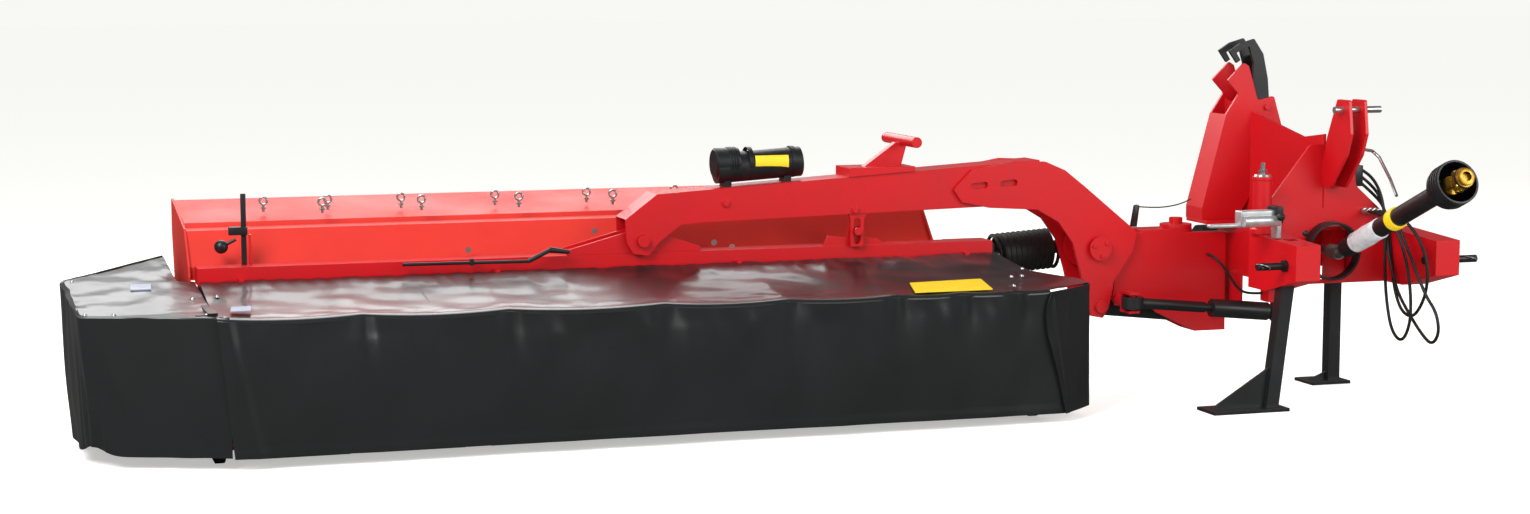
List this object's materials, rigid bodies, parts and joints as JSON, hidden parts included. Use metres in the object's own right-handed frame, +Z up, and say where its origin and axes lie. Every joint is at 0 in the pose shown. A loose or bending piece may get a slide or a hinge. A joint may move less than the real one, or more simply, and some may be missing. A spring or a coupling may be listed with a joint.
{
  "type": "disc mower conditioner",
  "caption": "Rear three-point disc mower conditioner: folding centre-pivot boom, swing headstock, tarpaulin-covered cutterbar, finger conditioner, drive shafts and parking stands",
  "frame": {"origin": "ground under the middle of the machine's bounding box", "axes": "+X along the mower towards the headstock, +Y to the rear of the travel direction, +Z up"},
  "size_m": [5.0914, 2.0028, 1.3491],
  "materials": {
    "bare_steel": "ground bare steel",
    "black_paint": "black powder coat",
    "black_plastic": "moulded black plastic",
    "casting": "painted casting",
    "hood_paint": "brighter red powder coat on folded sheet",
    "red_paint": "satin red enamel on welded steel",
    "tarpaulin": "coated PVC tarpaulin, dark grey",
    "zinc": "zinc-plated steel"
  },
  "bodies": {
    "headstock": {"headstock_frame": "red_paint", "mast": "red_paint", "top_link_bracket": "red_paint", "top_link_pin": "zinc", "lower_link_pin_left": "zinc", "lower_link_pin_right": "zinc", "main_gearbox": "casting", "pto_shield": "black_plastic"},
    "stand_left": {"stand_left": "black_paint"},
    "stand_right": {"stand_right": "black_paint"},
    "swing": {"swing_frame": "red_paint", "swing_pin": "zinc"},
    "boom": {"gooseneck_front": "red_paint", "gooseneck_rear": "red_paint", "boom_beam": "red_paint", "transport_catch": "red_paint", "fold_pin": "zinc", "document_tube": "black_plastic", "tilt_pin": "zinc"},
    "header": {"header_beam": "red_paint", "pivot_bracket": "red_paint", "cutterbar": "red_paint", "skids": "bare_steel", "hood_shell": "hood_paint", "hood_end_left": "hood_paint", "hood_end_right": "hood_paint", "end_shoe_left": "black_paint", "end_shoe_right": "black_paint", "header_gearbox": "casting", "swath_vanes": "black_paint"},
    "rotor": {"conditioner_rotor": "black_paint"},
    "front_cover": {"front_cover": "tarpaulin"},
    "front_curtain": {"front_curtain": "tarpaulin"},
    "end_cover": {"end_cover": "tarpaulin", "end_curtain": "tarpaulin"},
    "latch": {"latch": "black_paint"},
    "lift_barrel": {"lift_barrel": "black_paint"},
    "lift_rod": {"lift_rod": "zinc"},
    "break_barrel": {"break_barrel": "black_paint"},
    "break_rod": {"break_rod": "zinc"},
    "middle_shaft": {"middle_shaft": "black_plastic"},
    "header_shaft": {"header_shaft": "black_plastic"},
    "pto_guard": {"pto_guard": "black_plastic"},
    "pto_core": {"pto_core": "bare_steel"},
    "input_shaft": {"input_shaft": "bare_steel"},
    "disc_1": {"disc_1": "bare_steel"},
    "disc_2": {"disc_2": "bare_steel"},
    "disc_3": {"disc_3": "bare_steel"},
    "disc_4": {"disc_4": "bare_steel"},
    "disc_5": {"disc_5": "bare_steel"},
    "disc_6": {"disc_6": "bare_steel"},
    "disc_7": {"disc_7": "bare_steel"}
  },
  "joints": [
    {"name": "swing", "type": "hinge", "parent": "headstock", "child": "swing", "pos_m": [1.63625, 0.37136, 0.52], "axis": [0, 0, 1], "range_deg": [-20, 0]},
    {"name": "boom_fold", "type": "hinge", "parent": "swing", "child": "boom", "pos_m": [1.27125, 0.37136, 0.56], "axis": [0, 1, 0], "range_deg": [-4, 101]},
    {"name": "header_tilt", "type": "hinge", "parent": "boom", "child": "header", "pos_m": [-0.52575, 0.37136, 0.645], "axis": [0, 1, 0], "range_deg": [-2.5, 2.5]},
    {"name": "lift_barrel_swing", "type": "hinge", "parent": "swing", "child": "lift_barrel", "pos_m": [1.77625, 0.37136, 0.28], "axis": [0, 1, 0], "range_deg": [-1, 18]},
    {"name": "lift_stroke", "type": "slide", "parent": "lift_barrel", "child": "lift_rod", "axis": [-0.9939, 0, 0.1104], "range_m": [-0.013, 0.3]},
    {"name": "break_barrel_turn", "type": "hinge", "parent": "headstock", "child": "break_barrel", "pos_m": [1.96625, 0.18336, 0.3], "axis": [0, 0, 1], "range_deg": [-10, 1]},
    {"name": "break_stroke", "type": "slide", "parent": "break_barrel", "child": "break_rod", "axis": [-0.9951, 0, 0.0992], "range_m": [-0.002, 0.06]},
    {"name": "middle_shaft_turn", "type": "hinge", "parent": "headstock", "child": "middle_shaft", "pos_m": [1.93625, 0.55136, 0.545], "axis": [0, 0, 1], "range_deg": [-9.5, 1]},
    {"name": "header_shaft_turn", "type": "hinge", "parent": "header", "child": "header_shaft", "pos_m": [0.93625, 0.55136, 0.515], "axis": [0, 1, 0], "range_deg": [-14.5, 14.5]},
    {"name": "cover_lift", "type": "hinge", "parent": "header", "child": "front_cover", "pos_m": [-2.07875, 0.30336, 0.548], "axis": [1, 0, 0], "range_deg": [-70, 0]},
    {"name": "curtain_hang", "type": "hinge", "parent": "front_cover", "child": "front_curtain", "pos_m": [-2.07875, -0.25864, 0.483], "axis": [1, 0, 0], "range_deg": [-1, 71]},
    {"name": "end_cover_fold", "type": "hinge", "parent": "header", "child": "end_cover", "pos_m": [-2.14975, 0.30136, 0.494], "axis": [0, 1, 0], "range_deg": [0, 90]},
    {"name": "latch_turn", "type": "hinge", "parent": "headstock", "child": "latch", "pos_m": [1.98625, 0.36136, 1.086], "axis": [0, -1, 0], "range_deg": [0, 20]},
    {"name": "stand_left_lift", "type": "slide", "parent": "headstock", "child": "stand_left", "axis": [0.1219, 0, 0.9925], "range_m": [0, 0.28]},
    {"name": "stand_right_lift", "type": "slide", "parent": "headstock", "child": "stand_right", "axis": [0, 0, 1], "range_m": [0, 0.28]},
    {"name": "pto_swing", "type": "hinge", "parent": "headstock", "child": "pto_guard", "pos_m": [2.08625, -0.09364, 0.556], "axis": [-1, 0, 0], "range_deg": [0, 15]},
    {"name": "pto_spin", "type": "hinge", "parent": "pto_guard", "child": "pto_core", "pos_m": [2.08625, -0.09364, 0.556], "axis": [-0.0425, -0.9273, 0.3719], "continuous": true},
    {"name": "input_spin", "type": "hinge", "parent": "headstock", "child": "input_shaft", "pos_m": [2.08625, -0.01864, 0.556], "axis": [0, -1, 0], "continuous": true},
    {"name": "rotor_spin", "type": "hinge", "parent": "header", "child": "rotor", "pos_m": [-0.71375, 0.50136, 0.322], "axis": [1, 0, 0], "continuous": true},
    {"name": "disc_1_spin", "type": "hinge", "parent": "header", "child": "disc_1", "pos_m": [-1.80175, 0.00336, 0.112], "axis": [0, 0, 1], "continuous": true},
    {"name": "disc_2_spin", "type": "hinge", "parent": "header", "child": "disc_2", "pos_m": [-1.41075, 0.00336, 0.112], "axis": [0, 0, 1], "continuous": true},
    {"name": "disc_3_spin", "type": "hinge", "parent": "header", "child": "disc_3", "pos_m": [-1.01975, 0.00336, 0.112], "axis": [0, 0, 1], "continuous": true},
    {"name": "disc_4_spin", "type": "hinge", "parent": "header", "child": "disc_4", "pos_m": [-0.62875, 0.00336, 0.112], "axis": [0, 0, 1], "continuous": true},
    {"name": "disc_5_spin", "type": "hinge", "parent": "header", "child": "disc_5", "pos_m": [-0.23775, 0.00336, 0.112], "axis": [0, 0, 1], "continuous": true},
    {"name": "disc_6_spin", "type": "hinge", "parent": "header", "child": "disc_6", "pos_m": [0.15325, 0.00336, 0.112], "axis": [0, 0, 1], "continuous": true},
    {"name": "disc_7_spin", "type": "hinge", "parent": "header", "child": "disc_7", "pos_m": [0.54425, 0.00336, 0.112], "axis": [0, 0, 1], "continuous": true}
  ],
  "couplings": [
    {"joint": "lift_barrel_swing", "follows": "boom_fold", "ratio": 0.168},
    {"joint": "lift_stroke", "follows": "boom_fold", "m_per_rad": 0.1668},
    {"joint": "break_barrel_turn", "follows": "swing", "ratio": 0.456},
    {"joint": "break_stroke", "follows": "swing", "m_per_rad": -0.161},
    {"joint": "middle_shaft_turn", "follows": "swing", "ratio": 0.436},
    {"joint": "header_shaft_turn", "follows": "header_tilt", "ratio": -5.45},
    {"joint": "curtain_hang", "follows": "cover_lift", "ratio": -1},
    {"joint": "input_spin", "follows": "pto_spin", "ratio": 1},
    {"joint": "disc_2_spin", "follows": "disc_1_spin", "ratio": -1},
    {"joint": "disc_3_spin", "follows": "disc_1_spin", "ratio": 1},
    {"joint": "disc_4_spin", "follows": "disc_1_spin", "ratio": -1},
    {"joint": "disc_5_spin", "follows": "disc_1_spin", "ratio": 1},
    {"joint": "disc_6_spin", "follows": "disc_1_spin", "ratio": -1},
    {"joint": "disc_7_spin", "follows": "disc_1_spin", "ratio": 1}
  ]
}
